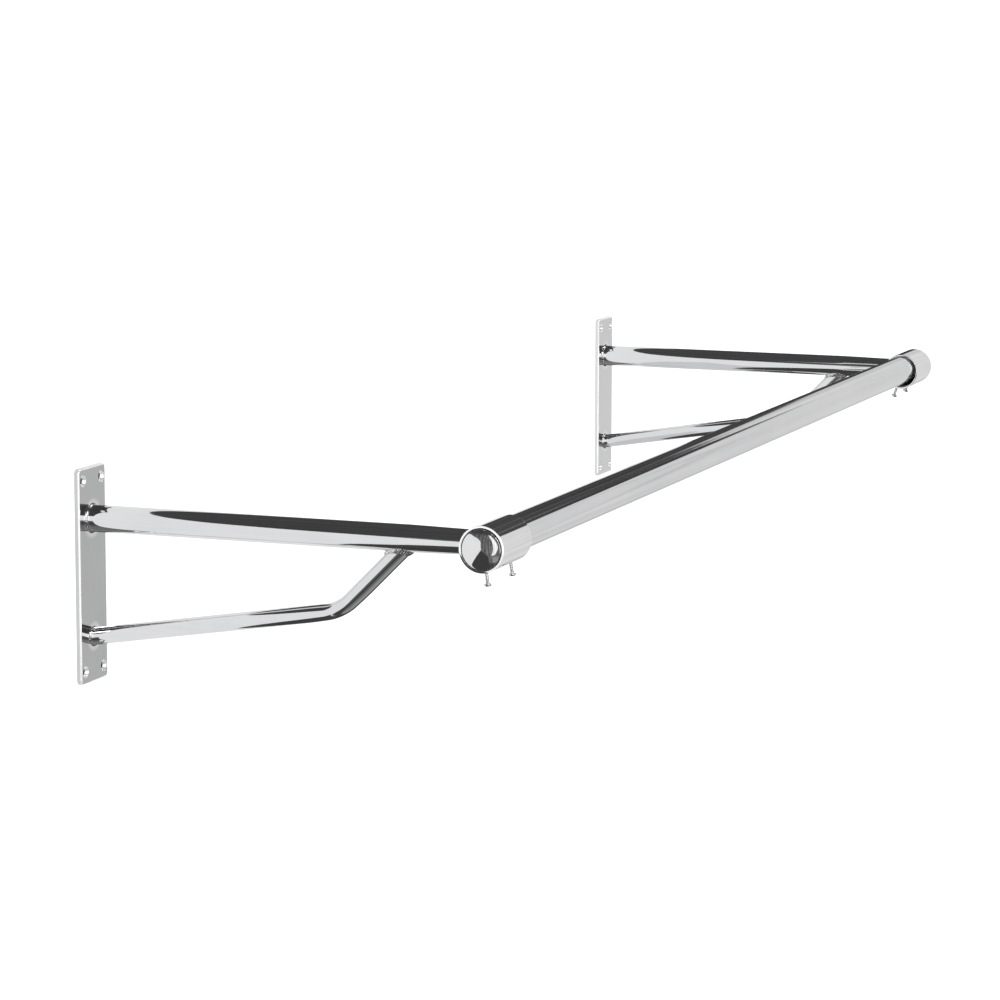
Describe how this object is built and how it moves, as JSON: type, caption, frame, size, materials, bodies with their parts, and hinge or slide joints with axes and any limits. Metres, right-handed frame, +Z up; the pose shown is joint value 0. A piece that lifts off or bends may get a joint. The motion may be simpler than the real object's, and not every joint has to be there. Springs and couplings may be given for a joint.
{
  "type": "pull up bar",
  "caption": "Wall-mounted chin-up bar: a straight tubular crossbar clamped in end sockets on welded, braced wall brackets with drilled flat plates.",
  "frame": {"origin": "on the wall plane, midway between the two wall plates, at the mid height of their screw holes", "axes": "+X along the crossbar to its right end as seen from the room, +Y into the wall, +Z up"},
  "size_m": [1.5056, 0.421, 0.2],
  "materials": {
    "chrome_bar": "polished chrome plate",
    "chrome_tube": "polished chrome plate",
    "chrome_socket": "polished chrome plate",
    "chrome_cap": "polished domed chrome cap",
    "plate_chrome": "satin chrome plate with bright edges",
    "weld_metal": "chromed-over rippled weld bead",
    "screw_steel": "zinc plated pan-head screws"
  },
  "bodies": {
    "brackets": {"left_wall_plate": "plate_chrome", "left_arm_tube": "chrome_tube", "left_brace_tube": "chrome_tube", "left_socket_sleeve": "chrome_socket", "left_end_cap": "chrome_cap", "left_arm_plate_weld": "weld_metal", "left_brace_plate_weld": "weld_metal", "left_brace_arm_weld": "weld_metal", "left_arm_socket_weld": "weld_metal", "right_wall_plate": "plate_chrome", "right_arm_tube": "chrome_tube", "right_brace_tube": "chrome_tube", "right_socket_sleeve": "chrome_socket", "right_end_cap": "chrome_cap", "right_arm_plate_weld": "weld_metal", "right_brace_plate_weld": "weld_metal", "right_brace_arm_weld": "weld_metal", "right_arm_socket_weld": "weld_metal"},
    "crossbar": {"crossbar": "chrome_bar"},
    "left_outer_clamp_screw": {"left_outer_clamp_screw": "screw_steel"},
    "left_inner_clamp_screw": {"left_inner_clamp_screw": "screw_steel"},
    "right_outer_clamp_screw": {"right_outer_clamp_screw": "screw_steel"},
    "right_inner_clamp_screw": {"right_inner_clamp_screw": "screw_steel"}
  },
  "joints": [
    {"name": "crossbar_turn", "type": "hinge", "parent": "brackets", "child": "crossbar", "pos_m": [0, -0.4, 0.0542], "axis": [1, 0, 0], "continuous": true},
    {"name": "left_outer_screw_travel", "type": "slide", "parent": "brackets", "child": "left_outer_clamp_screw", "axis": [0, -0.1219, -0.9925], "range_m": [0, 0.0042]},
    {"name": "left_inner_screw_travel", "type": "slide", "parent": "brackets", "child": "left_inner_clamp_screw", "axis": [0, -0.1736, -0.9848], "range_m": [0, 0.0042]},
    {"name": "right_outer_screw_travel", "type": "slide", "parent": "brackets", "child": "right_outer_clamp_screw", "axis": [0, 0.2924, -0.9563], "range_m": [0, 0.0042]},
    {"name": "right_inner_screw_travel", "type": "slide", "parent": "brackets", "child": "right_inner_clamp_screw", "axis": [0, 0.2924, -0.9563], "range_m": [0, 0.0042]}
  ]
}
